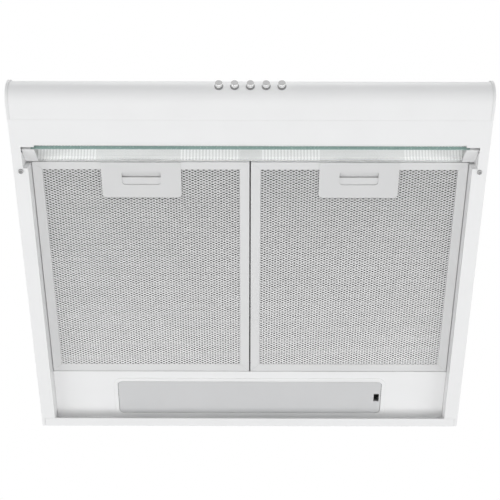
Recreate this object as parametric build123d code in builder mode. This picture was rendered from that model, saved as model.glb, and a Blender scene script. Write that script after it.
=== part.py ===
"""White under cabinet range hood, 600 mm wide: sheet-metal body, grease filters, visor, lamps and blower.

Millimetres. +X is to the right seen from the front, +Y to the back, +Z up. The origin is the centre of the
fixing screws on the roof. Depths t are counted back from the lowest line of the nose, and heights h up from
the bottom of the nose.
"""

from build123d import *
import math
import os

os.makedirs("parts", exist_ok=True)

# Overall sizes
hood_w = 600.0
hood_d = 510.0
body_h = 130.0
roof_d = 300.0
nose_r = 20.8
sheet = 1.0
seam = 0.3

# Nose, end caps and front strip
cap_t = 3.5
cap_r = 22.0
cap_proud = 0.6
cap_seam = 0.2
nose_back_t = 21.0
strip_seam = 0.1
strip_back_t = 55.2
strip_lip_h = 8.0
strip_bend_r = 2.2
ear_mid_t = 57.0
ear_back_t = 64.7

# Side flanges and the channels above them
flange_w = 18.9
channel_h = 30.0
channel_front_t = 66.0
notch_t = 86.0
notch_w = 6.5
top_flange_w = 14.0
rear_flange_d = 13.5
rear_corner_w = 4.4
rear_corner_r = 1.0

# Filters
filter_h = 20.0
filter_thick = 12.0
filter_front_t = 85.2
light_panel_d = 82.0
filter_side_gap = 1.0
filter_mid_gap = 1.8
frame_border = 12.5
front_border = 10.0
frame_wall = 0.8
frame_edge_r = 1.2
mitre_w = 0.35
mitre_d = 0.4
mesh_thick = 0.5
core_sheets = 2
core_gap = 0.4
filter_tab_w = 24.0
filter_tab_l = 5.0
filter_tab_thick = 1.3
filter_tab_spread = 160.0
tab_clear = 0.3

# Filter latches
latch_w = 103.0
latch_l = 49.0
latch_thick = 1.2
latch_corner_r = 5.0
latch_edge_r = 0.4
pocket_w = 50.0
pocket_l = 19.2
pocket_front = 11.6
pocket_r = 4.0
grip_l = 9.6
grip_recess = 0.3
scoop_depth = 3.5
latch_wall = 2.0
latch_travel = 7.5
tongue_w = 49.0
tongue_reach = 7.0
tongue_thick = 2.0
tongue_h = 7.6
slide_clear = 0.3

# Filter rail at the front, with its apron
apron_low_t = 53.2
apron_low_h = 8.7
rail_rear_gap = 0.6
rail_under_tongue = 0.7
rail_lap = 1.4
rail_notch_clear = 0.8

# Visor
visor_deg = 36.0
visor_front_t = 60.63
visor_front_h = 3.26
visor_l = 28.0
visor_thick = 5.0
bracket_w = 16.0
bracket_grip = 4.8
bracket_under = 1.5
bracket_over = 1.0
bracket_gap = 0.4
gusset_front = 3.0
gusset_w = 10.8
gusset_d = 0.8
visor_pivot_u = 22.7
visor_pivot_n = 1.7
visor_pin_r = 3.0
pin_clear = 0.08
glass_clear = 0.05

# Light panel, lens and lamps
panel_gap = 0.25
lens_w = 378.0
lens_d = 54.0
lens_thick = 2.0
lens_proud = 1.0
lens_corner_r = 6.0
lens_clear = 0.5
lens_edge_r = 0.8
lens_rear = 37.5
lens_slot_w = 7.6
lens_slot_l = 12.7
lens_slot_edge = 2.4
lens_hook_w = 10.0
lens_hook_l = 4.0
lens_hook_thick = 1.2
lens_hook_spread = 260.0
bezel_w = 5.5
tray_h = 41.0
tray_end = 16.0
tray_side = 7.0
holder_r = 12.0
holder_l = 36.0
bulb_base_r = 7.0
bulb_base_l = 18.0
bulb_r = 17.5
bulb_l = 70.0
lamp_drop = 20.0

# Push buttons and switch
button_count = 5
button_pitch = 19.3
button_deg = 27.0
button_r = 4.5
button_proud = 6.3
button_l = 15.0
button_tip_r = 0.6
button_clear = 0.1
ring_r = 5.45
ring_l = 3.4
ring_hole_clear = 0.05
switch_gap = 3.0
switch_depth = 15.0
switch_half = 8.0
switch_end = 12.0
switch_bottom = 5.0

# Blower
fan_side_gap = 8.4
fan_rear = 174.0
scroll_r = 78.0
scroll_step = 20.0
scroll_wall = 1.5
inlet_over_tray = 2.0
scroll_end_x = -62.0
tongue_deg = 135.0
inlet_plate = 2.0
inlet_r = 60.0
fan_r = 70.0
fan_inner_r = 57.0
fan_floor_gap = 4.0
fan_h = 26.0
fan_disc = 2.0
blade_count = 24
blade_thick = 1.2
blade_lean_deg = 35.0
hub_r = 9.0
hub_l = 12.0
shaft_r = 4.0
shaft_end_gap = 10.5
motor_r = 40.0
motor_gap = 2.0
bracket_plate = 2.5
bracket_r = 54.0

# Outlet collar and flaps
collar_r = 50.0
collar_wall = 2.0
collar_h = 32.0
collar_flange = 10.0
collar_flange_thick = 1.5
flap_pin_h = 9.0
flap_pin_r = 1.5
flap_pin_inset = 0.6
flap_thick = 1.2
flap_edge_gap = 1.5
flap_axis_gap = 2.6

# Roof fittings
screw_dx = 480.0
screw_dy = 200.0
screw_hole_r = 2.75
cross_rail_half = 10.0
gland_x = -160.0
gland_rear = 36.0
gland_r = 7.0
gland_bore_r = 4.5
gland_flange = 3.0
gland_lip = 3.0
box_w = 70.0
box_d = 50.0
box_h = 34.0
box_wall = 2.0
capacitor_r = 15.0
capacitor_l = 50.0
capacitor_gap = 0.2

# Flange screws
screw_inset = 10.0
screw_t = 90.0
screw_head_r = 3.2
screw_head_h = 1.8
screw_shank_r = 1.6
screw_shank_l = 8.0
screw_clear = 0.05
recess_w = 0.9
recess_l = 3.6
recess_d = 1.5

# Places worked out from the sizes above
half_w = hood_w / 2
rear_t = hood_d - cap_r
roof_front_t = rear_t - roof_d
origin_t = rear_t - roof_d / 2
side_x = half_w - cap_proud
wall_x = side_x - sheet
flange_x = side_x - flange_w
nose_half = half_w - cap_t - cap_seam
notch_x = flange_x + notch_w
flange_h = sheet
filter_x = flange_x - filter_side_gap
filter_mid_x = (filter_x + filter_mid_gap / 2) / 2
roof_under_h = body_h - sheet
cover_joint_t = roof_front_t + top_flange_w
filter_back_t = rear_t - light_panel_d
lens_mid_t = rear_t - lens_rear
gland_t = rear_t - gland_rear
fan_t = rear_t - fan_rear
fan_x = wall_x - top_flange_w - fan_side_gap - scroll_r - 3 * scroll_step
tray_foot = filter_h + sheet
scroll_bottom_h = tray_foot + tray_h + inlet_over_tray + inlet_plate
bracket_out_x = notch_x - bracket_gap
bracket_in_x = bracket_out_x - bracket_w
visor_half_w = bracket_in_x + bracket_grip
pane_u = (math.cos(math.radians(visor_deg)), math.sin(math.radians(visor_deg)))
rail_top_h = filter_h + tongue_h - rail_under_tongue
panel_front_t = filter_back_t + panel_gap
switch_face = nose_r - switch_gap

# Slope of the front cover: the tangent from the roof's front edge to the nose
reach = math.hypot(roof_front_t, body_h - nose_r)
tangent_angle = math.atan2(body_h - nose_r, roof_front_t) + math.acos(nose_r / reach)
slope = tangent_angle - math.pi / 2


def yz(t, h):
    """Sketch point on a side plane, from depth and height."""
    return (t - origin_t, h - body_h)


def slope_h(t, inset=0.0):
    """Height of the front cover's outer face at depth t, or of a line that far inside it."""
    return body_h - (roof_front_t - t) * math.tan(slope) - inset / math.cos(slope)


def on_round(radius, angle, middle_h):
    """Depth and height of a point on a round whose centre line is above the nose's lowest line."""
    return (radius * math.cos(angle), middle_h + radius * math.sin(angle))


def block(x, t, h, mode=Mode.ADD):
    """Box in the open part, from its limits across, in depth and in height."""
    with Locations((sum(x) / 2, sum(t) / 2 - origin_t, sum(h) / 2 - body_h)):
        Box(x[1] - x[0], t[1] - t[0], h[1] - h[0], mode=mode)


def level(h):
    """Horizontal sketch plane at a height, with its origin on the roof's centre line."""
    return Plane.XY.offset(h - body_h)


def finish(piece, name):
    """Label a finished piece and write its file."""
    piece.part.label = name
    export_step(piece.part, f"parts/{name}.step")


def finish_pair(piece, name):
    """Write a left piece and its mirrored right twin."""
    finish(piece, f"{name}_left")
    with BuildPart() as twin:
        mirror(piece.part, about=Plane.YZ)
    finish(twin, f"{name}_right")


# Nose panel: a bullnose sheet, flat below and sloping above, pierced for the push buttons
button_dir = Vector(0, -math.cos(math.radians(button_deg)), -math.sin(math.radians(button_deg)))
nose_centre = Vector(0, -origin_t, nose_r - body_h)
button_xs = [(i - (button_count - 1) / 2) * button_pitch for i in range(button_count)]


def button_plane(x, distance):
    """Plane across a button's axis at a distance from the nose's centre line."""
    return Plane(Vector(x, 0, 0) + nose_centre + button_dir * distance, x_dir=(1, 0, 0), z_dir=button_dir)


def nose_outline(radius):
    """Bottom, bullnose and slope of the nose at one radius, as the points of its path."""
    inset = nose_r - radius
    low = yz(nose_back_t, inset)
    bottom = yz(0, inset)
    front = yz(-radius, nose_r)
    tangent = yz(*on_round(radius, tangent_angle, nose_r))
    high = yz(nose_back_t, slope_h(nose_back_t, inset))
    return low, bottom, front, tangent, high


with BuildPart() as nose_panel:
    with BuildSketch(Plane.YZ.offset(-nose_half)):
        outer = nose_outline(nose_r)
        inner = nose_outline(nose_r - sheet)
        with BuildLine():
            Line(outer[0], outer[1])
            ThreePointArc(outer[1], outer[2], outer[3])
            Line(outer[3], outer[4])
            Line(outer[4], inner[4])
            Line(inner[4], inner[3])
            ThreePointArc(inner[3], inner[2], inner[1])
            Line(inner[1], inner[0])
            Line(inner[0], outer[0])
        make_face()
    extrude(amount=2 * nose_half)
    for x in button_xs:
        with BuildSketch(button_plane(x, nose_r / 2)):
            Circle(ring_r + ring_hole_clear)
        extrude(amount=nose_r, mode=Mode.SUBTRACT)
finish(nose_panel, "nose_panel")

# End caps close the nose and stand a little proud of it and of the sides
with BuildPart() as end_cap:
    with BuildSketch(Plane.YZ.offset(-half_w)):
        cap_top = on_round(cap_r, tangent_angle, cap_r)
        cap_back_h = cap_top[1] + (nose_back_t - cap_top[0]) * math.tan(slope)
        with BuildLine():
            Line(yz(nose_back_t, 0), yz(0, 0))
            ThreePointArc(yz(0, 0), yz(-cap_r, cap_r), yz(*cap_top))
            Line(yz(*cap_top), yz(nose_back_t, cap_back_h))
            Line(yz(nose_back_t, cap_back_h), yz(nose_back_t, 0))
        make_face()
    extrude(amount=cap_t)
    fillet(end_cap.faces().sort_by(Axis.X)[0].edges(), cap_proud)
finish_pair(end_cap, "end_cap")

# Front strip: the bottom sheet behind the nose, with an upturned lip and two ears over the side flanges
strip_mid_x = bracket_in_x - bracket_gap
with BuildPart() as front_strip:
    strip_t = (nose_back_t + strip_seam, strip_back_t)
    block((-strip_mid_x, strip_mid_x), strip_t, (0, strip_lip_h))
    block(
        (-strip_mid_x, strip_mid_x),
        (nose_back_t, strip_back_t - sheet),
        (sheet, body_h),
        mode=Mode.SUBTRACT,
    )
    bend = front_strip.edges().filter_by(Axis.X).group_by(Axis.Z)[0].sort_by(Axis.Y)[-1]
    fillet(bend, strip_bend_r)
    for side in (-1, 1):
        ear = sorted((side * strip_mid_x, side * side_x))
        block(ear, (nose_back_t + strip_seam, ear_mid_t), (0, sheet))
        ear = sorted((side * notch_x, side * side_x))
        block(ear, (nose_back_t + strip_seam, ear_back_t), (0, sheet))
finish(front_strip, "front_strip")

# Front cover: the sloping sheet from the nose up to the roof
with BuildPart() as front_cover:
    with BuildSketch(Plane.YZ.offset(-side_x)):
        cover_t = nose_back_t + seam
        inner_corner_t = roof_front_t + sheet * math.tan(slope / 2)
        with BuildLine():
            Polyline(
                yz(cover_t, slope_h(cover_t)),
                yz(roof_front_t, body_h),
                yz(cover_joint_t, body_h),
                yz(cover_joint_t, roof_under_h),
                yz(inner_corner_t, roof_under_h),
                yz(cover_t, slope_h(cover_t, sheet)),
                close=True,
            )
        make_face()
    extrude(amount=2 * side_x)
finish(front_cover, "front_cover")

# Side panels: outer wall, bottom flange with a notch for the visor bracket, and a flange under the roof
with BuildPart() as side_panel:
    with BuildSketch(Plane.YZ.offset(-side_x)):
        wall_t = nose_back_t + seam
        with BuildLine():
            Polyline(
                yz(wall_t, flange_h),
                yz(rear_t, flange_h),
                yz(rear_t, roof_under_h),
                yz(inner_corner_t, roof_under_h),
                yz(wall_t, slope_h(wall_t, sheet)),
                close=True,
            )
        make_face()
    extrude(amount=sheet)
    block((-wall_x, -notch_x), (wall_t, notch_t), (flange_h, flange_h + sheet))
    block((-wall_x, -flange_x), (notch_t, rear_t - rear_flange_d), (flange_h, flange_h + sheet))
    block((-wall_x, rear_corner_w - side_x), (notch_t, rear_t - sheet), (flange_h, flange_h + sheet))
    block(
        (-wall_x, top_flange_w - wall_x),
        (cover_joint_t, rear_t - sheet),
        (roof_under_h - sheet, roof_under_h),
    )
    with Locations((screw_inset - half_w, screw_t - origin_t, flange_h - body_h)):
        Hole(screw_shank_r + screw_clear, depth=2 * sheet)
finish_pair(side_panel, "side_panel")

# Side channels: the inner walls beside the filters, stepped outwards round the visor brackets
with BuildPart() as side_channel:
    channel_foot = flange_h + sheet
    channel_back_t = rear_t - sheet
    channel_top = (channel_h - sheet, channel_h)
    channel_wall = (channel_foot, channel_h)
    block((-flange_x - sheet, -flange_x), (notch_t, channel_back_t), channel_wall)
    block((-notch_x - sheet, -flange_x), (notch_t, notch_t + sheet), channel_wall)
    block((-notch_x - sheet, -notch_x), (channel_front_t, notch_t + sheet), channel_wall)
    block((-wall_x, -flange_x), (notch_t + sheet, channel_back_t), channel_top)
    block((-wall_x, -notch_x), (channel_front_t, notch_t + sheet), channel_top)
    pivot_t = visor_front_t + visor_pivot_u * pane_u[0] - visor_pivot_n * pane_u[1]
    pivot_h = visor_front_h + visor_pivot_u * pane_u[1] + visor_pivot_n * pane_u[0]
    with BuildSketch(Plane.YZ.offset(-notch_x - 2 * sheet)):
        with Locations(yz(pivot_t, pivot_h)):
            Circle(visor_pin_r + pin_clear)
    extrude(amount=3 * sheet, mode=Mode.SUBTRACT)
finish_pair(side_channel, "side_channel")

# Rear panel with its bottom flange
with BuildPart() as rear_panel:
    block((-wall_x, wall_x), (rear_t - sheet, rear_t), (flange_h, body_h))
    rear_flange_x = side_x - rear_corner_w - seam
    block((-rear_flange_x, rear_flange_x), (rear_t - rear_flange_d + seam, rear_t), (flange_h, flange_h + sheet))
    corner = rear_panel.edges().filter_by(Axis.Z).group_by(Axis.Y)[0]
    fillet(corner, rear_corner_r)
finish(rear_panel, "rear_panel")

# Roof panel with the fixing holes, the outlet and the cable entry
scroll_back_t = fan_t + scroll_r + 4 * scroll_step
tongue_angle = math.radians(tongue_deg)
tongue_point = (fan_x + scroll_r * math.cos(tongue_angle), fan_t + scroll_r * math.sin(tongue_angle))
collar_t = (scroll_back_t + tongue_point[1]) / 2
with BuildPart() as roof_panel:
    block((-wall_x, wall_x), (cover_joint_t, rear_t - sheet), (roof_under_h, body_h))
    with GridLocations(screw_dx, screw_dy, 2, 2):
        Hole(screw_hole_r, depth=2 * sheet)
    with Locations((0, collar_t - origin_t, 0)):
        Hole(collar_r - collar_wall, depth=2 * sheet)
    with Locations((gland_x, gland_t - origin_t, 0)):
        Hole(gland_r, depth=2 * sheet)
finish(roof_panel, "roof_panel")

# Cross rail under the joint of the roof and the front cover
with BuildPart() as cross_rail:
    rail_x = wall_x - top_flange_w - seam
    rail_t = (cover_joint_t - cross_rail_half, cover_joint_t + cross_rail_half)
    block((-rail_x, rail_x), rail_t, (roof_under_h - sheet, roof_under_h))
finish(cross_rail, "cross_rail")

# Filter rail: the ledge that the latch tongues rest over, notched behind their tips, and an apron behind the visor
tongue_half = tongue_w / 2
with BuildPart() as filter_rail:
    rail_back_t = filter_front_t - rail_rear_gap
    rail_low_h = rail_top_h - sheet
    apron_rise = pane_u[1] / pane_u[0]
    apron_top_h = apron_low_h + sheet / pane_u[0]
    with BuildSketch(Plane.YZ.offset(-notch_x)):
        with BuildLine():
            Polyline(
                yz(apron_low_t, apron_low_h),
                yz(apron_low_t + (rail_low_h - apron_low_h) / apron_rise, rail_low_h),
                yz(rail_back_t, rail_low_h),
                yz(rail_back_t, rail_top_h),
                yz(apron_low_t + (rail_top_h - apron_top_h) / apron_rise, rail_top_h),
                yz(apron_low_t, apron_top_h),
                close=True,
            )
        make_face()
    extrude(amount=2 * notch_x)
    notch_half = tongue_half + rail_notch_clear
    notch_front_t = filter_front_t - tongue_reach + rail_lap
    for middle_x in (-filter_mid_x, filter_mid_x):
        rail_notch_x = (middle_x - notch_half, middle_x + notch_half)
        block(rail_notch_x, (notch_front_t, rail_back_t), (rail_low_h, rail_top_h), mode=Mode.SUBTRACT)
finish(filter_rail, "filter_rail")


# Grease filters, each a channel frame holding two meshes and a layered core
filter_t = (filter_front_t, filter_back_t)
filter_side = (-filter_x, -filter_mid_gap / 2)
filter_top_h = filter_h + filter_thick
house_half = pocket_w / 2 + latch_wall + slide_clear
house_front = pocket_front - latch_wall
house_back = pocket_front + pocket_l + latch_travel + slide_clear + latch_wall
house_top_h = filter_h + tongue_h + tongue_thick + slide_clear
tongue_bottom_h = filter_h + tongue_h


def inset(limits, amount):
    """The same limits drawn in at both ends."""
    return (limits[0] + amount, limits[1] - amount)


def latch_x(half):
    """Limits across the middle of the left filter."""
    return (-filter_mid_x - half, -filter_mid_x + half)


def latch_t(front, back):
    """Limits in depth behind the filter's front edge."""
    return (filter_front_t + front, filter_front_t + back)


with BuildPart() as filter_frame:
    block(filter_side, filter_t, (filter_h, filter_top_h))
    rear_edge = filter_frame.edges().filter_by(Axis.X).group_by(Axis.Z)[0].sort_by(Axis.Y)[-1]
    fillet(rear_edge, frame_edge_r)
    window = inset(filter_side, frame_border)
    window_t = (filter_front_t + front_border, filter_back_t - frame_border)
    block(window, window_t, (0, body_h), mode=Mode.SUBTRACT)
    hollow_h = (filter_h + frame_wall, filter_top_h - frame_wall)
    hollow_t = (filter_front_t + frame_wall, filter_back_t - frame_edge_r - frame_wall)
    block(inset(filter_side, frame_wall), hollow_t, hollow_h, mode=Mode.SUBTRACT)
    slot_h = (tongue_bottom_h - slide_clear, house_top_h)
    block(latch_x(tongue_half + slide_clear), latch_t(-1, frame_border), slot_h, mode=Mode.SUBTRACT)
    block(
        latch_x(house_half + slide_clear),
        latch_t(frame_wall, frame_border),
        (filter_h - 1, house_top_h),
        mode=Mode.SUBTRACT,
    )
    tab_h = filter_h + sheet + tab_clear
    for offset_x in (-filter_tab_spread / 2, filter_tab_spread / 2):
        tab_mid = -filter_mid_x + offset_x
        block(
            (tab_mid - filter_tab_w / 2, tab_mid + filter_tab_w / 2),
            (filter_back_t - frame_edge_r, filter_back_t + filter_tab_l),
            (tab_h, tab_h + filter_tab_thick),
        )
    mitre_x = inset(filter_side, frame_border / 2)
    front_mitre_y = filter_front_t + front_border / 2 - origin_t
    rear_mitre_y = filter_back_t - frame_border / 2 - origin_t
    mitre_deg = math.degrees(math.atan2(front_border, frame_border))
    with BuildSketch(level(filter_h)):
        for mitre_side, middle_x in zip((1, -1), mitre_x):
            with Locations((middle_x, front_mitre_y)):
                Rectangle(2 * frame_border, mitre_w, rotation=mitre_side * mitre_deg)
            with Locations((middle_x, rear_mitre_y)):
                Rectangle(2 * frame_border, mitre_w, rotation=mitre_side * -45)
    extrude(amount=mitre_d, mode=Mode.SUBTRACT)
finish_pair(filter_frame, "filter_frame")

layer_t = inset(hollow_t, core_gap)
layer_x = inset(inset(filter_side, frame_wall), core_gap)
mesh_h = (hollow_h[0], hollow_h[0] + mesh_thick)
backing_h = (hollow_h[1] - mesh_thick, hollow_h[1])
core_pitch = (backing_h[0] - mesh_h[0]) / (core_sheets + 1)
core_hs = [
    (mesh_h[0] + i * core_pitch, mesh_h[1] + i * core_pitch) for i in range(1, core_sheets + 1)
]
layers = {"filter_mesh": [mesh_h], "filter_core": core_hs, "filter_backing": [backing_h]}
for layer_name, sheet_hs in layers.items():
    with BuildPart() as layer:
        for sheet_h in sheet_hs:
            block(layer_x, layer_t, sheet_h)
        block(
            latch_x(house_half + slide_clear),
            latch_t(0, house_back + slide_clear),
            (filter_h, filter_top_h),
            mode=Mode.SUBTRACT,
        )
    finish_pair(layer, layer_name)

with BuildPart() as latch_plate:
    with BuildSketch(level(filter_h - latch_thick)):
        with Locations((-filter_mid_x, filter_front_t + latch_l / 2 - origin_t)):
            plate = Rectangle(latch_w, latch_l)
        fillet(plate.vertices().group_by(Axis.Y)[-1], latch_corner_r)
        with Locations((-filter_mid_x, filter_front_t + pocket_front + pocket_l / 2 - origin_t)):
            RectangleRounded(pocket_w, pocket_l, pocket_r, mode=Mode.SUBTRACT)
    extrude(amount=latch_thick)
    fillet(latch_plate.faces().sort_by(Axis.Z)[0].outer_wire().edges(), latch_edge_r)
    block(latch_x(house_half), latch_t(house_front, house_back), (filter_h, house_top_h + latch_wall / 2))
    cavity_t = latch_t(house_front + latch_wall, house_back - latch_wall)
    block(latch_x(house_half - latch_wall), cavity_t, (filter_h, house_top_h), mode=Mode.SUBTRACT)
    block(
        latch_x(tongue_half + slide_clear),
        latch_t(house_front - 1, house_front + latch_wall),
        slot_h,
        mode=Mode.SUBTRACT,
    )
    scoop_t = latch_t(pocket_front, pocket_front + pocket_l - grip_l - slide_clear)
    scoop_h = filter_h + scoop_depth
    block(latch_x(house_half - latch_wall), scoop_t, (scoop_h, scoop_h + latch_wall / 2))
finish_pair(latch_plate, "latch_plate")

with BuildPart() as latch_slider:
    grip_back = pocket_front + pocket_l
    grip_h = (filter_h + grip_recess, tongue_bottom_h)
    block(latch_x(pocket_w / 2), latch_t(grip_back - grip_l, grip_back), grip_h)
    block(latch_x(tongue_half), latch_t(-tongue_reach, grip_back), (tongue_bottom_h, tongue_bottom_h + tongue_thick))
    nose_edge = latch_slider.edges().filter_by(Axis.X).group_by(Axis.Y)[0].sort_by(Axis.Z)[-1]
    chamfer(nose_edge, tongue_thick / 2)
finish_pair(latch_slider, "latch_slider")

# Visor: a glass pane that slopes up to the back between two pivoted end brackets
pane_plane = Plane(
    origin=(0, visor_front_t - origin_t, visor_front_h - body_h),
    x_dir=(0, pane_u[0], pane_u[1]),
    z_dir=(1, 0, 0),
)


def slab(across, along, through, mode=Mode.ADD):
    """Box square to the visor's slope, from its limits across, up the slope and through the pane."""
    corner = pane_plane.from_local_coords((sum(along) / 2, sum(through) / 2, sum(across) / 2))
    with Locations(Location(corner, (visor_deg, 0, 0))):
        Box(across[1] - across[0], along[1] - along[0], through[1] - through[0], mode=mode)


with BuildPart() as visor_glass:
    slab((-visor_half_w, visor_half_w), (0, visor_l), (0, visor_thick))
    chamfer(visor_glass.edges().filter_by(Axis.X), visor_thick / 10)
finish(visor_glass, "visor_glass")

with BuildPart() as visor_bracket:
    slab((-bracket_out_x, -bracket_in_x), (0, visor_l), (-bracket_under, visor_thick + bracket_over))
    fillet(visor_bracket.edges().filter_by(Axis.X), bracket_over)
    slab(
        (-visor_half_w - glass_clear, 0),
        (-visor_l, 2 * visor_l),
        (-glass_clear, visor_thick + glass_clear),
        mode=Mode.SUBTRACT,
    )
    under_plane = Plane(
        origin=pane_plane.from_local_coords((0, -bracket_under, 0)),
        x_dir=pane_plane.x_dir,
        z_dir=pane_plane.y_dir,
    )
    with BuildSketch(under_plane):
        with BuildLine():
            Polyline(
                (gusset_front, bracket_in_x),
                (visor_l, bracket_in_x),
                (visor_l, bracket_in_x + gusset_w),
                close=True,
            )
        make_face()
    extrude(amount=gusset_d, mode=Mode.SUBTRACT)
    with BuildSketch(Plane.YZ.offset(-bracket_out_x)):
        with Locations(yz(pivot_t, pivot_h)):
            Circle(visor_pin_r)
    extrude(amount=-(bracket_gap + sheet + seam))
finish_pair(visor_bracket, "visor_bracket")

# Light panel with a raised bezel round the lens opening
lens_y = lens_mid_t - origin_t
opening_w = lens_w + 2 * lens_clear
opening_d = lens_d + 2 * lens_clear
opening_r = lens_corner_r + lens_clear
with BuildPart() as light_panel:
    panel_half = flange_x - panel_gap
    block((-panel_half, panel_half), (panel_front_t, rear_t - sheet), (filter_h, filter_h + sheet))
    with BuildSketch(level(filter_h - lens_proud)):
        with Locations((0, lens_y)):
            RectangleRounded(opening_w + 2 * bezel_w, opening_d + 2 * bezel_w, opening_r + bezel_w)
    extrude(amount=lens_proud)
    bezel_edge = light_panel.faces().sort_by(Axis.Z)[0].edges()
    chamfer(bezel_edge, lens_proud / 2)
    with BuildSketch(level(0)):
        with Locations((0, lens_y)):
            RectangleRounded(opening_w, opening_d, opening_r)
    extrude(amount=body_h, mode=Mode.SUBTRACT)
finish(light_panel, "light_panel")

with BuildPart() as lamp_lens:
    lens_low_h = filter_h - lens_proud
    with BuildSketch(level(lens_low_h)):
        with Locations((0, lens_y)):
            RectangleRounded(lens_w, lens_d, lens_corner_r)
        with Locations((lens_w / 2 - lens_slot_edge - lens_slot_w / 2, lens_y)):
            Rectangle(lens_slot_w, lens_slot_l, mode=Mode.SUBTRACT)
    extrude(amount=lens_thick)
    fillet(lamp_lens.faces().sort_by(Axis.Z)[0].outer_wire().edges(), lens_edge_r)
    hook_h = filter_h + sheet + tab_clear
    lens_front_t = lens_mid_t - lens_d / 2
    hook_t = (lens_front_t - lens_hook_l, lens_front_t + lens_hook_l)
    for middle_x in (-lens_hook_spread / 2, lens_hook_spread / 2):
        hook_x = (middle_x - lens_hook_w / 2, middle_x + lens_hook_w / 2)
        block(hook_x, hook_t, (lens_low_h + lens_thick, hook_h + lens_hook_thick))
        gap_t = (hook_t[0], lens_front_t)
        block(hook_x, gap_t, (lens_low_h + lens_thick, hook_h), mode=Mode.SUBTRACT)
finish(lamp_lens, "lamp_lens")

# Lamp tray above the lens, open below, with two holders and bulbs
tray_half = lens_w / 2 + tray_end
tray_t = (lens_mid_t - lens_d / 2 - tray_side, lens_mid_t + lens_d / 2 + tray_side)
with BuildPart() as lamp_tray:
    block((-tray_half, tray_half), tray_t, (tray_foot, tray_foot + tray_h))
    inner_x = (sheet - tray_half, tray_half - sheet)
    block(inner_x, inset(tray_t, sheet), (tray_foot, tray_foot + tray_h - sheet), mode=Mode.SUBTRACT)
finish(lamp_tray, "lamp_tray")

lamp_h = tray_foot + tray_h - lamp_drop
holder_plane = Plane(
    origin=(sheet - tray_half, lens_y, lamp_h - body_h), x_dir=(0, 1, 0), z_dir=(1, 0, 0)
)
with BuildPart() as lamp_holder:
    with BuildSketch(holder_plane):
        Circle(holder_r)
    extrude(amount=holder_l)
    with BuildSketch(holder_plane.offset(holder_l - bulb_base_l)):
        Circle(bulb_base_r + screw_clear)
    extrude(amount=bulb_base_l, mode=Mode.SUBTRACT)
finish_pair(lamp_holder, "lamp_holder")

bulb_x = sheet - tray_half + holder_l
bulb_plane = Plane(origin=(bulb_x, lens_y, lamp_h - body_h), x_dir=(1, 0, 0), z_dir=(0, -1, 0))
with BuildPart() as bulb:
    with BuildSketch(bulb_plane):
        with BuildLine():
            Line((-bulb_base_l, 0), (-bulb_base_l, bulb_base_r))
            Line((-bulb_base_l, bulb_base_r), (0, bulb_base_r))
            swell = (bulb_l - bulb_r, bulb_r)
            Spline((0, bulb_base_r), swell, tangents=[(1, 0.6), (1, 0)])
            RadiusArc(swell, (bulb_l, 0), bulb_r)
            Line((bulb_l, 0), (-bulb_base_l, 0))
        make_face()
    revolve(axis=Axis((bulb_x, lens_y, lamp_h - body_h), (1, 0, 0)))
finish_pair(bulb, "bulb")

# Push buttons in their rings, with the switch behind them
with BuildPart() as switch_rings:
    for x in button_xs:
        with BuildSketch(button_plane(x, nose_r + sheet)):
            Circle(ring_r)
            Circle(button_r + button_clear, mode=Mode.SUBTRACT)
        extrude(amount=-ring_l)
finish(switch_rings, "switch_rings")

for number, x in enumerate(button_xs, start=1):
    with BuildPart() as push_button:
        with BuildSketch(button_plane(x, nose_r + button_proud)):
            Circle(button_r)
        extrude(amount=-button_l)
        fillet(push_button.edges().group_by(Axis.Y)[0], button_tip_r)
    finish(push_button, f"push_button_{number}")

switch_w = (button_count - 1) * button_pitch + 2 * switch_end
with BuildPart() as switch_block:
    with BuildSketch(button_plane(0, switch_face)):
        Rectangle(switch_w, 2 * switch_half)
    extrude(amount=-switch_depth)
    for x in button_xs:
        with BuildSketch(button_plane(x, switch_face)):
            Circle(button_r + button_clear)
        extrude(amount=switch_bottom - switch_depth, mode=Mode.SUBTRACT)
finish(switch_block, "switch_block")

# Blower: a scroll whose radius grows by one step each quarter turn, open to the collar at its end
scroll_y = fan_t - origin_t


def scroll_path(grow):
    """Points and arcs of the scroll's outline, drawn outwards by a wall."""
    r1 = scroll_r + grow
    r2, r3, r4 = r1 + scroll_step, r1 + 2 * scroll_step, r1 + 3 * scroll_step
    x1, y1 = fan_x, scroll_y
    x2, y3 = x1 + scroll_step, y1 + scroll_step
    # The wall of the outlet meets the first arc where that arc is as far back as the tongue
    outlet_y = y1 + scroll_r * math.sin(tongue_angle) - grow
    start_angle = math.pi - math.asin((outlet_y - y1) / r1)
    start = (x1 + r1 * math.cos(start_angle), outlet_y)
    left, front, right, back = (x1 - r1, y1), (x2, y1 - r2), (x2 + r3, y3), (x1, y3 + r4)
    end_x = scroll_end_x - grow
    half = math.sqrt(0.5)
    middle_angle = (start_angle + math.pi) / 2
    ThreePointArc(start, (x1 + r1 * math.cos(middle_angle), y1 + r1 * math.sin(middle_angle)), left)
    ThreePointArc(left, (x2 - r2 * half, y1 - r2 * half), front)
    ThreePointArc(front, (x2 + r3 * half, y3 - r3 * half), right)
    ThreePointArc(right, (x1 + r4 * half, y3 + r4 * half), back)
    Polyline(back, (end_x, back[1]), (end_x, outlet_y), start)


with BuildPart() as scroll_housing:
    with BuildSketch(level(scroll_bottom_h)):
        with BuildLine():
            scroll_path(scroll_wall)
        make_face()
        with BuildLine():
            scroll_path(0)
        make_face(mode=Mode.SUBTRACT)
    extrude(amount=roof_under_h - scroll_bottom_h)
finish(scroll_housing, "scroll_housing")

with BuildPart() as inlet_cover:
    with BuildSketch(level(scroll_bottom_h - inlet_plate)):
        with BuildLine():
            scroll_path(scroll_wall)
        make_face()
        with Locations((fan_x, scroll_y)):
            Circle(inlet_r, mode=Mode.SUBTRACT)
    extrude(amount=inlet_plate)
finish(inlet_cover, "inlet_cover")

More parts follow.
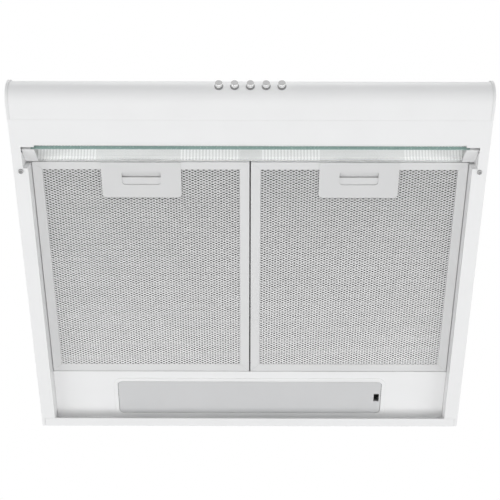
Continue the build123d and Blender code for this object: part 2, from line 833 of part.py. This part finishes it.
fan_low_h = scroll_bottom_h + fan_floor_gap
fan_top_h = fan_low_h + fan_h


def fan_level(h):
    """Horizontal plane at a height, centred on the fan's axis."""
    return Plane((fan_x, scroll_y, h - body_h))


with BuildPart() as impeller:
    with BuildSketch(fan_level(fan_top_h - fan_disc)):
        Circle(fan_r)
    extrude(amount=fan_disc)
    with BuildSketch(fan_level(fan_low_h)):
        Circle(fan_r)
        Circle(fan_inner_r, mode=Mode.SUBTRACT)
    extrude(amount=fan_disc)
    with BuildSketch(fan_level(fan_low_h)):
        with PolarLocations((fan_r + fan_inner_r) / 2, blade_count):
            with Locations(Rotation(0, 0, blade_lean_deg)):
                Rectangle(fan_r - fan_inner_r, blade_thick)
    extrude(amount=fan_h)
    with BuildSketch(fan_level(fan_top_h - hub_l)):
        Circle(hub_r)
    extrude(amount=hub_l)
    with BuildSketch(fan_level(fan_low_h)):
        Circle(shaft_r + glass_clear)
    extrude(amount=fan_h, mode=Mode.SUBTRACT)
finish(impeller, "impeller")

motor_low_h = fan_top_h + motor_gap
shaft_top_h = roof_under_h - bracket_plate - shaft_end_gap
with BuildPart() as motor_shaft:
    with BuildSketch(fan_level(fan_top_h - hub_l)):
        Circle(shaft_r)
    extrude(amount=shaft_top_h - fan_top_h + hub_l)
finish(motor_shaft, "motor_shaft")

with BuildPart() as motor:
    with BuildSketch(fan_level(motor_low_h)):
        Circle(motor_r)
    extrude(amount=roof_under_h - bracket_plate - motor_low_h)
    fillet(motor.edges().group_by(Axis.Z)[0], bracket_plate)
    with BuildSketch(fan_level(motor_low_h)):
        Circle(shaft_r + pin_clear)
    extrude(amount=shaft_top_h + seam - motor_low_h, mode=Mode.SUBTRACT)
finish(motor, "motor")

with BuildPart() as motor_bracket:
    with BuildSketch(fan_level(roof_under_h - bracket_plate)):
        Circle(bracket_r)
    extrude(amount=bracket_plate)
finish(motor_bracket, "motor_bracket")

# Outlet collar on the roof, with two flaps that fall shut
collar_plane = Plane((0, collar_t - origin_t, 0))
collar_bore_r = collar_r - collar_wall
with BuildPart() as outlet_collar:
    with BuildSketch(collar_plane):
        Circle(collar_r)
        Circle(collar_bore_r, mode=Mode.SUBTRACT)
    extrude(amount=collar_h)
    with BuildSketch(collar_plane):
        Circle(collar_r + collar_flange)
        Circle(collar_bore_r, mode=Mode.SUBTRACT)
    extrude(amount=collar_flange_thick)
    with BuildSketch(Plane.YZ.offset(-collar_r)):
        with Locations((collar_t - origin_t - flap_axis_gap, flap_pin_h), (collar_t - origin_t + flap_axis_gap, flap_pin_h)):
            Circle(flap_pin_r + pin_clear)
    extrude(amount=2 * collar_r, mode=Mode.SUBTRACT)
finish(outlet_collar, "outlet_collar")

flap_r = collar_bore_r - flap_edge_gap
for side, flap_name in ((-1, "front_flap"), (1, "rear_flap")):
    with BuildPart() as flap:
        with BuildSketch(Plane((0, collar_t - origin_t, flap_pin_h - flap_thick / 2))):
            Circle(flap_r)
            with Locations((0, side * (flap_axis_gap - flap_r))):
                Rectangle(2 * flap_r, 2 * flap_r, mode=Mode.SUBTRACT)
        extrude(amount=flap_thick)
        flap_pin_end = collar_r - flap_pin_inset
        with BuildSketch(Plane.YZ.offset(-flap_pin_end)):
            with Locations((collar_t - origin_t + side * flap_axis_gap, flap_pin_h)):
                Circle(flap_pin_r)
        extrude(amount=2 * flap_pin_end)
    finish(flap, flap_name)

# Wiring: terminal box under the roof, cable gland through it, and the motor's capacitor
box_x = (gland_x - box_w / 2, gland_x + box_w / 2)
box_t = (gland_t - box_d / 2, gland_t + box_d / 2)
box_heights = (roof_under_h - box_h, roof_under_h)
with BuildPart() as terminal_box:
    block(box_x, box_t, box_heights)
    block(inset(box_x, box_wall), inset(box_t, box_wall), inset(box_heights, box_wall), mode=Mode.SUBTRACT)
    with Locations((gland_x, gland_t - origin_t, -sheet)):
        Hole(gland_r, depth=2 * box_wall)
finish(terminal_box, "terminal_box")

gland_plane = Plane((gland_x, gland_t - origin_t, 0))
with BuildPart() as cable_gland:
    with BuildSketch(gland_plane):
        Circle(gland_r + gland_lip)
    extrude(amount=gland_flange)
    with BuildSketch(gland_plane):
        Circle(gland_r - screw_clear)
    extrude(amount=-(sheet + box_wall))
    with BuildSketch(gland_plane.offset(gland_flange)):
        Circle(gland_bore_r)
    extrude(amount=-(gland_flange + sheet + box_wall), mode=Mode.SUBTRACT)
finish(cable_gland, "cable_gland")

capacitor_t = box_t[0] - 2 * capacitor_r
capacitor_plane = Plane(
    origin=(box_x[0], capacitor_t - origin_t, roof_under_h - capacitor_gap - capacitor_r - body_h),
    x_dir=(0, 1, 0),
    z_dir=(1, 0, 0),
)
with BuildPart() as capacitor:
    with BuildSketch(capacitor_plane):
        Circle(capacitor_r)
    extrude(amount=capacitor_l)
    fillet(capacitor.edges().group_by(Axis.X)[-1], box_wall)
finish(capacitor, "capacitor")

# Flange screws with cross recesses, one on each side
with BuildPart() as flange_screws:
    for side in (-1, 1):
        head = Plane((side * (half_w - screw_inset), screw_t - origin_t, flange_h - body_h))
        with BuildSketch(head):
            Circle(screw_shank_r)
        extrude(amount=screw_shank_l)
        with BuildSketch(head.offset(-screw_head_h)):
            Circle(screw_head_r)
        extrude(amount=screw_head_h)
    fillet(flange_screws.edges().filter_by(GeomType.CIRCLE).group_by(Axis.Z)[0], screw_head_h / 2)
    for side in (-1, 1):
        with BuildSketch(Plane((side * (half_w - screw_inset), screw_t - origin_t, flange_h - screw_head_h - body_h))):
            Rectangle(recess_l, recess_w)
            Rectangle(recess_w, recess_l)
        extrude(amount=recess_d, mode=Mode.SUBTRACT)
finish(flange_screws, "flange_screws")
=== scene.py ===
"""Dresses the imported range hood.

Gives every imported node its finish, adds the expanded filter meshes, the visor's pane, the apron's ribs,
the latches' scoops and the buttons' faces, and sets up the studio.
"""

import math

import bmesh
import bpy
from mathutils import Matrix, Vector


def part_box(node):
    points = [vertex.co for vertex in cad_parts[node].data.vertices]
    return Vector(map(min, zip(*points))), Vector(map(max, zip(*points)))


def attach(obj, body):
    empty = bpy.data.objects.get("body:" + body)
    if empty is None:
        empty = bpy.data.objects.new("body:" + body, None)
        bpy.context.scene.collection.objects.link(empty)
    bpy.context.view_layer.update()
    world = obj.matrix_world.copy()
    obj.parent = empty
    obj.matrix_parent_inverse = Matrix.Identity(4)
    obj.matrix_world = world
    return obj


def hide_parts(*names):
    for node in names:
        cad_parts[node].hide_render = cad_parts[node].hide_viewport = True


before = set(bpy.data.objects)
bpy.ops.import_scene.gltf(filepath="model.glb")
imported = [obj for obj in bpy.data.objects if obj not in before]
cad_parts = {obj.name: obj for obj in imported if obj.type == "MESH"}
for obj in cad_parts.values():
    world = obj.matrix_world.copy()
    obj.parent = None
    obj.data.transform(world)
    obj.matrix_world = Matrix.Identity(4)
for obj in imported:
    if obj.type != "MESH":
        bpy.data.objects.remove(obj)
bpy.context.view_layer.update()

MM = 0.001
SIDES = {"left": -1, "right": 1}

# Places of the hood, in metres: the centre line of the nose and the bottom of the body
NOSE_LINE_Y = -0.338
BOTTOM_Z = -0.130

# Filter meshes: pitch of the diamonds, form of the strands, and their height over the plain sheet's middle
DIAMOND_X = 7.32 * MM
DIAMOND_Y = 3.65 * MM
STRAND_HIGH = 1.0 * MM
STRAND_LEAN = 1.0 * MM
STRAND_THICK = 0.2 * MM
MESH_RISE = 0.1 * MM

# Room that a mesh leaves for its latch, to each side of the middle and back from the front edge
LATCH_HALF = 28.0 * MM
LATCH_DEPTH = 41.5 * MM

# Visor pane: how close points are merged, how flat faces are joined and how small a face counts as an edge
PANE_MERGE = 0.001 * MM
PANE_FLAT_DEG = 1.0
PANE_EDGE_SHARE = 0.5

# Ribs on the apron behind the visor, beside the latches
RIB_PITCH = 4.0 * MM
RIB_WIDTH = 1.9 * MM
RIB_HEIGHT = 0.8 * MM
RIB_FAN = 0.03
RIB_RANGES = ((14.0 * MM, 88.0 * MM), (192.0 * MM, 266.0 * MM))

# Section of the apron, in millimetres behind the nose line and above the bottom
APRON_LINE = ((54.2, 9.4), (76.9, 25.9), (84.0, 25.9))

# Scooped front half of each latch's finger pocket
SCOOP_MID_X = 140.2 * MM
SCOOP_HALF = 24.6 * MM
SCOOP_FRONT_Y = NOSE_LINE_Y + 96.9 * MM
SCOOP_FRONT_Z = BOTTOM_Z + 19.1 * MM
SCOOP_LENGTH = 9.1 * MM
SCOOP_DEEP = 4.2 * MM
SCOOP_CURVE = 1.7
SCOOP_STEPS = 8
SCOOP_THICK = 0.4 * MM

# Push buttons: centre line of the nose, and how far out and how far below level their ends are
NOSE_CENTRE_Z = BOTTOM_Z + 20.8 * MM
BUTTON_END = 27.1 * MM
BUTTON_DEG = 27.0
BUTTON_PITCH = 19.3 * MM
BUTTON_COUNT = 5
BUTTON_NUMBERS = range(1, BUTTON_COUNT + 1)
FACE_RADIUS = 4.4 * MM
FACE_THICK = 0.3 * MM
FACE_SIDES = 32
FACE_BEVEL_STEPS = 2

# Noise of the finishes: its detail, the values that it is spread between, and its usual patch and stretch
NOISE_DETAIL = 3.0
NOISE_LOW = 0.3
NOISE_HIGH = 0.7
TONE_PATCH = 14.0
NO_STRETCH = (1.0, 1.0, 1.0)

# Refraction of the visor's glass and of the lens
GLASS_IOR = 1.52
LENS_IOR = 1.49

# Camera, as the photograph was taken: from below and in front
CAMERA_LENS_MM = 72.0
CAMERA_SENSOR_MM = 36.0
CAMERA_FORWARD = 0.402
CAMERA_BELOW = 1.168
CAMERA_TILT_DEG = 62.7
CAMERA_ROLL_DEG = 0.12
CAMERA_REACH = 50.0

# Surround and floor
WORLD_LIGHT = 0.38
WORLD_TINT = (0.97, 0.985, 1.0, 1.0)
WHITE = (1.0, 1.0, 1.0, 1.0)
FLOOR_Z = -3.8
FLOOR_SIZE = 60.0
FLOOR_GLOW = 0.75

# Soft lamps, in metres and watts
LAMPS = {
    "key_lamp": dict(place=(0, -2.9, -3.6), target=(0, 0, -0.1), size=3.0, power=37.0),
    "rear_lamp": dict(place=(0, 0.1, -2.3), target=(0, 0.1, -0.1), size=1.4, power=12.5),
    "front_lamp": dict(place=(0, -1.6, 1.2), target=(0, -0.3, -0.1), size=1.4, power=15.0),
    "top_lamp": dict(place=(0, 1.4, 1.6), target=(0, 0, 0), size=2.0, power=26.0),
    "left_lamp": dict(place=(-1.5, 0, -1.2), target=(0, 0.1, -0.1), size=1.2, power=9.0),
    "right_lamp": dict(place=(1.5, 0, -1.2), target=(0, 0.1, -0.1), size=1.2, power=9.0),
}


# Materials


def noise(tree, scale, stretch):
    """Noise on the piece's own coordinates, with a stretch for drawn or rolled grain."""
    place = tree.nodes.new("ShaderNodeTexCoord")
    mapping = tree.nodes.new("ShaderNodeMapping")
    mapping.inputs["Scale"].default_value = stretch
    texture = tree.nodes.new("ShaderNodeTexNoise")
    texture.inputs["Scale"].default_value = scale
    texture.inputs["Detail"].default_value = NOISE_DETAIL
    tree.links.new(place.outputs["Object"], mapping.inputs["Vector"])
    tree.links.new(mapping.outputs["Vector"], texture.inputs["Vector"])
    return texture.outputs["Fac"]


def ramp(tree, value, low, high):
    """Colour between two tones, by a value near one half."""
    node = tree.nodes.new("ShaderNodeValToRGB")
    first, last = node.color_ramp.elements
    first.position = NOISE_LOW
    last.position = NOISE_HIGH
    first.color = (*low, 1.0)
    last.color = (*high, 1.0)
    tree.links.new(value, node.inputs["Fac"])
    return node.outputs["Color"]


def spread(tree, value, low, high):
    """Number between two limits, by a value near one half."""
    node = tree.nodes.new("ShaderNodeMapRange")
    node.inputs["From Min"].default_value = NOISE_LOW
    node.inputs["From Max"].default_value = NOISE_HIGH
    node.inputs["To Min"].default_value = low
    node.inputs["To Max"].default_value = high
    tree.links.new(value, node.inputs["Value"])
    return node.outputs["Result"]


def bump(tree, value, distance):
    """Relief from a height value, in metres."""
    node = tree.nodes.new("ShaderNodeBump")
    node.inputs["Distance"].default_value = distance
    tree.links.new(value, node.inputs["Height"])
    return node.outputs["Normal"]


def finish(name, tones, rough, grain, relief, metallic=0.0, patch=TONE_PATCH, stretch=NO_STRETCH):
    """Finish with drifting tone, uneven gloss and a fine relief."""
    material = bpy.data.materials.new(name)
    material.use_nodes = True
    tree = material.node_tree
    shader = tree.nodes["Principled BSDF"]
    drift = noise(tree, patch, stretch)
    fine = noise(tree, grain, stretch)
    tree.links.new(ramp(tree, drift, *tones), shader.inputs["Base Color"])
    tree.links.new(spread(tree, fine, *rough), shader.inputs["Roughness"])
    tree.links.new(bump(tree, fine, relief), shader.inputs["Normal"])
    shader.inputs["Metallic"].default_value = metallic
    return material


def greys(*values):
    """Neutral colours."""
    return [(value, value, value) for value in values]


def set_sockets(material, sockets):
    """Set numbers on a material's shader, and give the material back."""
    shader = material.node_tree.nodes["Principled BSDF"]
    for socket, number in sockets.items():
        shader.inputs[socket].default_value = number
    return material


def enamel():
    """Satin white stove enamel with a faint orange peel."""
    material = finish(
        "white_enamel", tones=greys(0.855, 0.875), rough=(0.42, 0.52), grain=900.0, relief=0.004 * MM
    )
    return set_sockets(material, {"Coat Weight": 0.05, "Coat Roughness": 0.12})


def moulding():
    """Smooth white plastic."""
    return finish(
        "white_moulding", tones=greys(0.82, 0.835), rough=(0.32, 0.42), grain=1600.0, relief=0.003 * MM
    )


def latch_moulding():
    """Greyer white plastic of the filter latches."""
    return finish(
        "latch_moulding", tones=greys(0.675, 0.695), rough=(0.36, 0.46), grain=1600.0, relief=0.003 * MM
    )


def frame_paint():
    """Pale grey paint on the filters' channel frames."""
    return finish(
        "frame_paint", tones=greys(0.71, 0.74), rough=(0.35, 0.5), grain=1200.0, relief=0.004 * MM
    )


def rail_shade_paint():
    """Paint of the rail and its apron behind the visor, greyed as painted shade for the shade that lies
    behind the glass.
    """
    return finish(
        "rail_shade_paint", tones=greys(0.665, 0.685), rough=(0.45, 0.6), grain=1200.0, relief=0.004 * MM
    )


def mesh_metal():
    """Bright expanded aluminium with rolled grain."""
    return finish(
        "mesh_metal", tones=greys(0.93, 0.97), rough=(0.3, 0.45), grain=700.0, relief=0.004 * MM,
        metallic=0.4, stretch=(1.0, 4.0, 1.0),
    )


def core_painted_shade():
    """Crumpled aluminium layers, uneven, painted near black as painted shade for the dark inside of the
    filter seen through the mesh.
    """
    return finish(
        "core_painted_shade", tones=greys(0.04, 0.09), rough=(0.45, 0.65), grain=320.0, relief=1.2 * MM,
        metallic=0.4, patch=240.0,
    )


def chrome():
    """Polished chrome plate with faint rub marks."""
    return finish(
        "chrome_plate", tones=greys(0.86, 0.90), rough=(0.06, 0.10), grain=400.0, relief=0.0002 * MM,
        metallic=1.0,
    )


def ring_chrome_painted_shade():
    """Chrome of the rings round the buttons, darkened as painted shade for the shaded outline round their
    lower side.
    """
    return finish(
        "ring_chrome_painted_shade", tones=greys(0.30, 0.36), rough=(0.15, 0.22), grain=400.0, relief=0.0002 * MM,
        metallic=1.0,
    )


def satin_metal():
    """Satin grey metal of the buttons' faces."""
    return finish(
        "satin_metal", tones=greys(0.34, 0.40), rough=(0.28, 0.36), grain=1800.0, relief=0.002 * MM,
        metallic=0.9,
    )


def screw_plate():
    """Dark grey plate of the flange screws."""
    return finish(
        "screw_plate", tones=greys(0.3, 0.38), rough=(0.22, 0.32), grain=900.0, relief=0.003 * MM,
        metallic=1.0,
    )


def zinc():
    """Zinc-plated steel."""
    return finish(
        "zinc_steel", tones=greys(0.52, 0.62), rough=(0.28, 0.42), grain=900.0, relief=0.004 * MM,
        metallic=1.0, patch=120.0,
    )


def black_moulding():
    """Matt black plastic with a fine spark-eroded texture."""
    return finish(
        "black_moulding", tones=greys(0.035, 0.05), rough=(0.5, 0.65), grain=1500.0, relief=0.02 * MM
    )


def drawn_can():
    """Drawn aluminium of the capacitor's can."""
    return finish(
        "drawn_can", tones=greys(0.66, 0.74), rough=(0.25, 0.4), grain=500.0, relief=0.004 * MM,
        metallic=1.0, stretch=(0.1, 1.0, 1.0),
    )


def frosted():
    """Frosted translucent plastic of the lens."""
    tones = ((0.685, 0.688, 0.692), (0.70, 0.702, 0.706))
    material = finish("frosted_lens", tones, rough=(0.42, 0.52), grain=1400.0, relief=0.006 * MM)
    return set_sockets(material, {"Transmission Weight": 0.1, "IOR": LENS_IOR})


def opal():
    """Opal glass of the bulbs."""
    tones = ((0.80, 0.80, 0.78), (0.86, 0.86, 0.84))
    return finish("opal_glass", tones, rough=(0.12, 0.2), grain=800.0, relief=0.002 * MM)


def clear_glass():
    """Clear float glass of the visor's faces."""
    tones = ((0.975, 0.99, 0.985), (0.985, 0.995, 0.99))
    material = finish("pane_glass", tones, rough=(0.0, 0.02), grain=300.0, relief=0.0005 * MM)
    return set_sockets(material, {"Transmission Weight": 1.0, "IOR": GLASS_IOR})


def glass_edge():
    """Ground front edge of the pane, green with the depth of the glass."""
    tones = ((0.30, 0.45, 0.41), (0.34, 0.49, 0.45))
    material = finish("pane_edge", tones, rough=(0.18, 0.3), grain=500.0, relief=0.01 * MM)
    return set_sockets(material, {"Transmission Weight": 0.15, "IOR": GLASS_IOR})


def pair(name):
    """A left and a right node."""
    return [f"{name}_{side}" for side in SIDES]


FINISHES = {
    enamel: [
        "roof_panel", "rear_panel", "nose_panel", "front_strip", "front_cover", "cross_rail",
        "light_panel", "lamp_tray", *pair("side_panel"), *pair("side_channel"),
    ],
    moulding: [*pair("end_cap"), *pair("visor_bracket")],
    latch_moulding: [*pair("latch_plate"), *pair("latch_slider")],
    frame_paint: pair("filter_frame"),
    # Rail and apron: paint greyed as painted shade behind the visor glass
    rail_shade_paint: ["filter_rail"],
    # Cores and backings: painted shade, near black for the dark inside of the filters
    core_painted_shade: [*pair("filter_core"), *pair("filter_backing")],
    chrome: [f"push_button_{number}" for number in BUTTON_NUMBERS],
    # Rings: chrome darkened as painted shade
    ring_chrome_painted_shade: ["switch_rings"],
    screw_plate: ["flange_screws"],
    zinc: ["motor", "motor_shaft", "motor_bracket"],
    black_moulding: [
        "scroll_housing", "inlet_cover", "impeller", "switch_block", "terminal_box", "cable_gland",
        "outlet_collar", "front_flap", "rear_flap", *pair("lamp_holder"),
    ],
    drawn_can: ["capacitor"],
    frosted: ["lamp_lens"],
    opal: pair("bulb"),
}


def dress_nodes():
    """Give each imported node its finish."""
    for make, nodes in FINISHES.items():
        material = make()
        for node in nodes:
            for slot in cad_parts[node].material_slots:
                slot.material = material


# Pieces


def object_from(bm, name, materials):
    """Object of a bmesh in the scene, with its materials."""
    mesh = bpy.data.meshes.new(name)
    bm.to_mesh(mesh)
    bm.free()
    for material in materials:
        mesh.materials.append(material)
    obj = bpy.data.objects.new(name, mesh)
    bpy.context.scene.collection.objects.link(obj)
    return obj


def piece_from(bm, name, materials, body):
    """Finished piece of a bmesh, on its body and material slot."""
    bmesh.ops.recalc_face_normals(bm, faces=bm.faces)
    obj = object_from(bm, name, materials)
    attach(obj, body)
    return obj


def add_line(bm, points):
    """Edges from point to point."""
    verts = [bm.verts.new(point) for point in points]
    for ends in zip(verts, verts[1:]):
        bm.edges.new(ends)


def only_verts(geometry):
    """The vertices of a mixed list."""
    return [item for item in geometry if isinstance(item, bmesh.types.BMVert)]


def draw_out(bm, way):
    """Draw every line of a bmesh out into a sheet."""
    sheet = bmesh.ops.extrude_edge_only(bm, edges=bm.edges)["geom"]
    bmesh.ops.translate(bm, vec=way, verts=only_verts(sheet))


def thicken(bm, way):
    """Give every sheet of a bmesh a thickness one way."""
    wall = bmesh.ops.extrude_face_region(bm, geom=bm.faces)["geom"]
    bmesh.ops.translate(bm, vec=way, verts=only_verts(wall))


def strand_line(start, row, bends):
    """Points along one strand of a mesh, bending to and fro."""
    line = []
    for bend in range(-bends, bends + 1):
        sway = DIAMOND_Y / 4 if (row + bend) % 2 else -DIAMOND_Y / 4
        line.append(start + Vector((bend * DIAMOND_X / 2, row * DIAMOND_Y / 2 + sway, MESH_RISE)))
    return line


def expanded_sheet(low, high):
    """Expanded metal: rows of strands that meet at their bends, whose tops lean to the front."""
    bm = bmesh.new()
    lean = Vector((0, -STRAND_LEAN, STRAND_HIGH))
    top = (low + high) / 2 + lean / 2
    bends = math.ceil((high.x - low.x) / DIAMOND_X) + 1
    rows = math.ceil((high.y - low.y) / DIAMOND_Y) + 1
    for row in range(-rows, rows + 1):
        add_line(bm, strand_line(top, row, bends))
    draw_out(bm, -lean)
    return bm


def trim_to_box(bm, low, high):
    """Cut away what lies outside a rectangle seen from above."""
    planes = (
        ((low.x, 0, 0), (-1, 0, 0)),
        ((high.x, 0, 0), (1, 0, 0)),
        ((0, low.y, 0), (0, -1, 0)),
        ((0, high.y, 0), (0, 1, 0)),
    )
    for point, normal in planes:
        geometry = [*bm.verts, *bm.edges, *bm.faces]
        bmesh.ops.bisect_plane(bm, geom=geometry, plane_co=point, plane_no=normal, clear_outer=True)


def clear_latch(bm, low, high):
    """Leave room in a mesh for the latch behind its plate."""
    middle_x = (low.x + high.x) / 2
    taken = []
    for face in bm.faces:
        place = face.calc_center_median()
        if abs(place.x - middle_x) < LATCH_HALF and place.y < low.y + LATCH_DEPTH:
            taken.append(face)
    bmesh.ops.delete(bm, geom=taken, context="FACES")


def filter_mesh(side, material):
    """Expanded mesh that stands for a filter's plain sheet."""
    node = f"filter_mesh_{side}"
    low, high = (Vector(corner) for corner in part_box(node))
    bm = expanded_sheet(low, high)
    trim_to_box(bm, low, high)
    clear_latch(bm, low, high)
    bmesh.ops.solidify(bm, geom=bm.faces, thickness=STRAND_THICK)
    obj = piece_from(bm, f"expanded_mesh_{side}", [material], f"filter_{side}")
    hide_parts(node)


def visor_pane():
    """Pane with clear faces and a green front edge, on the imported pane's own slope."""
    bm = bmesh.new()
    bm.from_mesh(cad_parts["visor_glass"].data)
    bmesh.ops.remove_doubles(bm, verts=bm.verts, dist=PANE_MERGE)
    bmesh.ops.dissolve_limit(bm, angle_limit=math.radians(PANE_FLAT_DEG), verts=bm.verts, edges=bm.edges)
    largest = max(face.calc_area() for face in bm.faces)
    middle_y = sum(vert.co.y for vert in bm.verts) / len(bm.verts)
    for face in bm.faces:
        at_front = face.calc_center_median().y < middle_y
        is_edge = face.calc_area() < PANE_EDGE_SHARE * largest
        face.material_index = 1 if at_front and is_edge else 0
    obj = piece_from(bm, "visor_pane", [clear_glass(), glass_edge()], "visor")
    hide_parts("visor_glass")
    obj.visible_shadow = False


def rib_line(apron, across):
    """Points along one rib of the apron, further from the middle towards the back."""
    length = apron[-1].y - apron[0].y
    line = []
    for point in apron:
        fan = 1 + RIB_FAN * (point.y - apron[0].y) / length
        line.append(point + Vector((across * fan - RIB_WIDTH / 2, 0, 0)))
    return line


def apron_ribs(material):
    """Shallow ribs up the apron, fanned a little towards the back."""
    bm = bmesh.new()
    apron = [Vector((0, NOSE_LINE_Y + back * MM, BOTTOM_Z + up * MM)) for back, up in APRON_LINE]
    for start, end in RIB_RANGES:
        count = round((end - start) / RIB_PITCH)
        for number in range(count):
            across = start + (number + 0.5) * (end - start) / count
            for sign in SIDES.values():
                add_line(bm, rib_line(apron, sign * across))
    draw_out(bm, (RIB_WIDTH, 0, 0))
    thicken(bm, (0, 0, -RIB_HEIGHT))
    piece_from(bm, "apron_ribs", [material], "hood")


def latch_scoop(side, material):
    """Floor of a finger pocket, curving up from the plate to the grip."""
    bm = bmesh.new()
    x = SIDES[side] * SCOOP_MID_X - SCOOP_HALF
    line = []
    for step in range(SCOOP_STEPS + 1):
        share = step / SCOOP_STEPS
        y = SCOOP_FRONT_Y + SCOOP_LENGTH * share
        z = SCOOP_FRONT_Z + SCOOP_DEEP * share ** SCOOP_CURVE
        line.append((x, y, z))
    add_line(bm, line)
    draw_out(bm, (2 * SCOOP_HALF, 0, 0))
    thicken(bm, (0, 0, SCOOP_THICK))
    piece_from(bm, f"latch_scoop_{side}", [material], f"filter_{side}")


def button_face(number, material):
    """Satin face on the end of a push button."""
    bm = bmesh.new()
    bmesh.ops.create_cone(
        bm, cap_ends=True, segments=FACE_SIDES, radius1=FACE_RADIUS, radius2=FACE_RADIUS, depth=FACE_THICK
    )
    rim = [edge for edge in bm.edges if all(vert.co.z > 0 for vert in edge.verts)]
    bmesh.ops.bevel(
        bm, geom=rim, offset=FACE_THICK / 2, segments=FACE_BEVEL_STEPS, affect="EDGES", profile=0.5,
        material=-1,
    )
    x = (number - (BUTTON_COUNT + 1) / 2) * BUTTON_PITCH
    angle = math.radians(BUTTON_DEG)
    out = Vector((0, -math.cos(angle), -math.sin(angle)))
    place = Vector((x, NOSE_LINE_Y, NOSE_CENTRE_Z)) + out * BUTTON_END
    turn = out.to_track_quat("Z", "X").to_matrix().to_4x4()
    bmesh.ops.transform(bm, matrix=Matrix.Translation(place) @ turn, verts=bm.verts)
    piece_from(bm, f"button_face_{number}", [material], f"button_{number}")


def add_pieces():
    """The pieces that stand for plain solids or lie on them."""
    strand_metal = mesh_metal()
    for side in SIDES:
        filter_mesh(side, strand_metal)
    visor_pane()
    apron_ribs(enamel())
    scoop_plastic = latch_moulding()
    for side in SIDES:
        latch_scoop(side, scoop_plastic)
    face_metal = satin_metal()
    for number in BUTTON_NUMBERS:
        button_face(number, face_metal)


# Studio


def build_camera():
    """Camera at the photograph's place and angle."""
    data = bpy.data.cameras.new("photo_camera")
    data.lens = CAMERA_LENS_MM
    data.sensor_width = CAMERA_SENSOR_MM
    data.clip_end = CAMERA_REACH
    camera = bpy.data.objects.new("photo_camera", data)
    tilt = Matrix.Rotation(math.radians(90 + CAMERA_TILT_DEG), 4, "X")
    roll = Matrix.Rotation(math.radians(CAMERA_ROLL_DEG), 4, "Z")
    place = Matrix.Translation((0, NOSE_LINE_Y - CAMERA_FORWARD, BOTTOM_Z - CAMERA_BELOW))
    camera.matrix_world = place @ tilt @ roll
    bpy.context.scene.collection.objects.link(camera)
    bpy.context.scene.camera = camera


def seen_by_eye(tree):
    """One for what the eye, a reflection or clear glass sees, and nought for light."""
    path = tree.nodes.new("ShaderNodeLightPath")
    seen = path.outputs["Is Camera Ray"]
    for ray in ("Is Glossy Ray", "Is Transmission Ray"):
        either = tree.nodes.new("ShaderNodeMath")
        either.operation = "MAXIMUM"
        tree.links.new(seen, either.inputs[0])
        tree.links.new(path.outputs[ray], either.inputs[1])
        seen = either.outputs[0]
    return seen


def background(tree, colour, strength):
    """Even light of the surround."""
    node = tree.nodes.new("ShaderNodeBackground")
    node.inputs["Color"].default_value = colour
    node.inputs["Strength"].default_value = strength
    return node.outputs[0]


def build_world():
    """White surround for the eye and for reflections, softer as a light."""
    world = bpy.data.worlds.new("studio")
    bpy.context.scene.world = world
    world.use_nodes = True
    tree = world.node_tree
    tree.nodes.clear()
    mix = tree.nodes.new("ShaderNodeMixShader")
    out = tree.nodes.new("ShaderNodeOutputWorld")
    tree.links.new(seen_by_eye(tree), mix.inputs["Fac"])
    tree.links.new(background(tree, WORLD_TINT, WORLD_LIGHT), mix.inputs[1])
    tree.links.new(background(tree, WHITE, 1.0), mix.inputs[2])
    tree.links.new(mix.outputs[0], out.inputs["Surface"])


def floor_paint():
    """Pale matt paint, nearly white to the eye but still taking a shadow."""
    material = finish(
        "floor_paint", tones=greys(0.78, 0.80), rough=(0.6, 0.7), grain=30.0, relief=0.1 * MM, patch=2.0
    )
    tree = material.node_tree
    shader = tree.nodes["Principled BSDF"]
    glow = tree.nodes.new("ShaderNodeEmission")
    share = tree.nodes.new("ShaderNodeMath")
    share.operation = "MULTIPLY"
    share.inputs[1].default_value = FLOOR_GLOW
    mix = tree.nodes.new("ShaderNodeMixShader")
    tree.links.new(seen_by_eye(tree), share.inputs[0])
    tree.links.new(share.outputs[0], mix.inputs["Fac"])
    tree.links.new(shader.outputs["BSDF"], mix.inputs[1])
    tree.links.new(glow.outputs["Emission"], mix.inputs[2])
    tree.links.new(mix.outputs[0], tree.nodes["Material Output"].inputs["Surface"])
    return material


def build_floor():
    """Plain pale floor far below the hood, which hangs as under a cabinet."""
    bm = bmesh.new()
    bmesh.ops.create_grid(bm, x_segments=1, y_segments=1, size=FLOOR_SIZE / 2)
    bmesh.ops.translate(bm, vec=(0, 0, FLOOR_Z), verts=bm.verts)
    floor = object_from(bm, "studio_floor", [floor_paint()])


def soft_lamp(name, place, target, size, power):
    """Large square lamp turned to a point, and unseen itself."""
    data = bpy.data.lights.new(name, "AREA")
    data.shape = "SQUARE"
    data.size = size
    data.energy = power
    lamp = bpy.data.objects.new(name, data)
    lamp.location = place
    lamp.rotation_mode = "QUATERNION"
    lamp.rotation_quaternion = (Vector(target) - Vector(place)).to_track_quat("-Z", "Y")
    lamp.visible_camera = False
    bpy.context.scene.collection.objects.link(lamp)


def build_studio():
    """Camera, surround, floor and lamps."""
    build_camera()
    build_world()
    build_floor()
    for name, lamp in LAMPS.items():
        soft_lamp(name, **lamp)
    bpy.context.scene.view_settings.view_transform = "Standard"


dress_nodes()
add_pieces()
build_studio()
